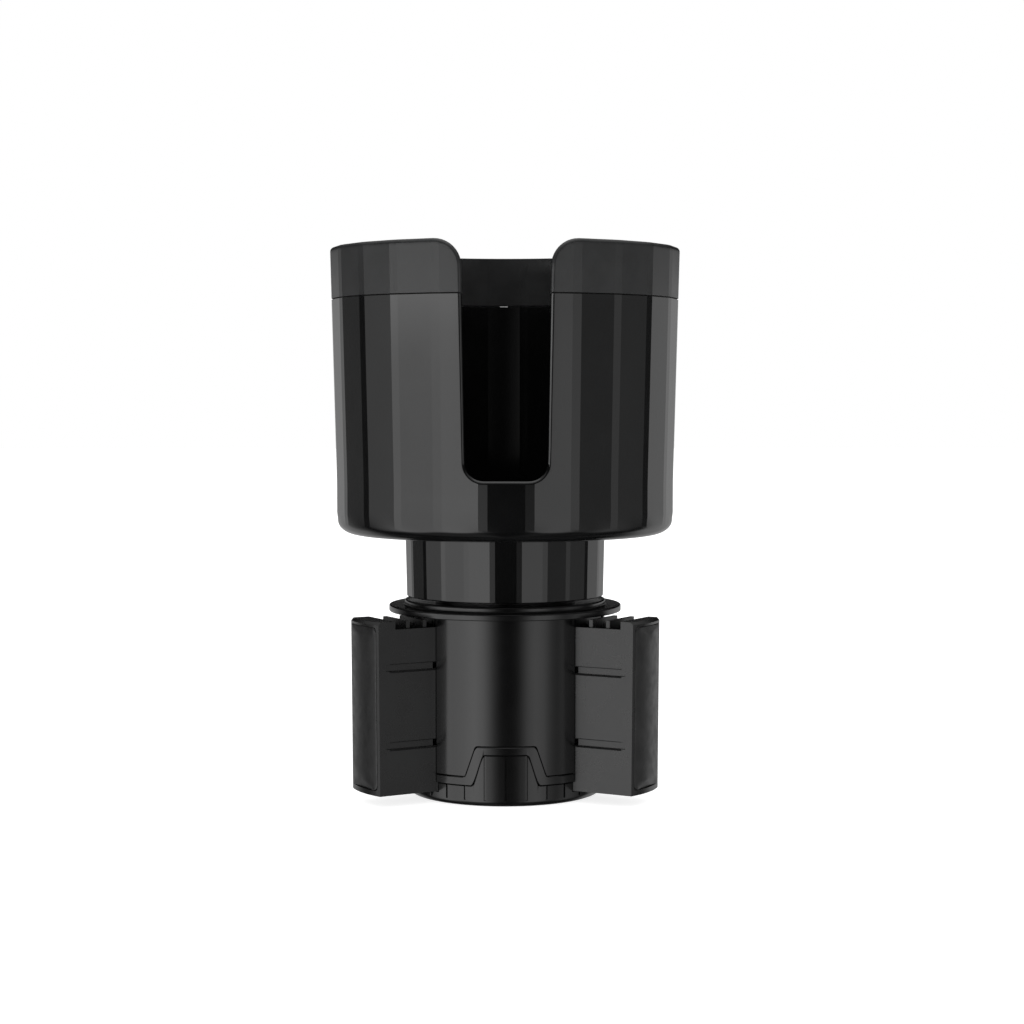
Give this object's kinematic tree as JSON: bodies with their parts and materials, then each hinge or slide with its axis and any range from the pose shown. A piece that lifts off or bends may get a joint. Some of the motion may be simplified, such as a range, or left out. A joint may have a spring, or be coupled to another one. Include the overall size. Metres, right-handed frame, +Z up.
{
  "type": "expanding car cup holder adapter",
  "caption": "Large slotted bottle cup with a faceted wall on a turning neck, over a round base whose radial wings slide out on a flat scroll to grip a vehicle's cup holder.",
  "frame": {"origin": "on the turning axis of cup and base, at the underside of the foot", "axes": "+Z up along the turning axis, -Y towards the front slot of the cup, +X to the right seen from the front; wings extended at rest"},
  "size_m": [0.1038, 0.1021, 0.1631],
  "materials": {
    "cup_plastic": "semi-gloss moulded",
    "ring_plastic": "satin moulded",
    "base_plastic": "satin moulded",
    "grip_rubber": "smooth rubber",
    "soft_rubber": "matt silicone",
    "screw_steel": "zinc plated"
  },
  "bodies": {
    "base": {"base_housing": "base_plastic", "top_collar": "base_plastic", "drag_ring": "soft_rubber", "foot_cap": "base_plastic", "foot_screws": "screw_steel"},
    "upper": {"scroll_plate": "base_plastic", "neck": "cup_plastic", "spindle_screws": "screw_steel", "cup_body": "cup_plastic", "cup_screws": "screw_steel", "rim_ring": "ring_plastic", "cup_mat": "soft_rubber"},
    "wing_left": {"left_wing": "base_plastic", "left_wing_pad": "grip_rubber"},
    "wing_right": {"right_wing": "base_plastic", "right_wing_pad": "grip_rubber"},
    "wing_rear": {"rear_wing": "base_plastic", "rear_wing_pad": "grip_rubber"}
  },
  "joints": [
    {"name": "cup_turn", "type": "hinge", "parent": "base", "child": "upper", "pos_m": [0, 0, 0.055], "axis": [0, 0, 1], "range_deg": [0, 1080]},
    {"name": "slide_left", "type": "slide", "parent": "base", "child": "wing_left", "axis": [-0.866, -0.5, 0], "range_m": [-0.0165, 0]},
    {"name": "slide_right", "type": "slide", "parent": "base", "child": "wing_right", "axis": [0.866, -0.5, 0], "range_m": [-0.0165, 0]},
    {"name": "slide_rear", "type": "slide", "parent": "base", "child": "wing_rear", "axis": [0, 1, 0], "range_m": [-0.0165, 0]}
  ],
  "couplings": [
    {"joint": "slide_left", "follows": "cup_turn", "m_per_rad": -0.00087535},
    {"joint": "slide_right", "follows": "cup_turn", "m_per_rad": -0.00087535},
    {"joint": "slide_rear", "follows": "cup_turn", "m_per_rad": -0.00087535}
  ]
}
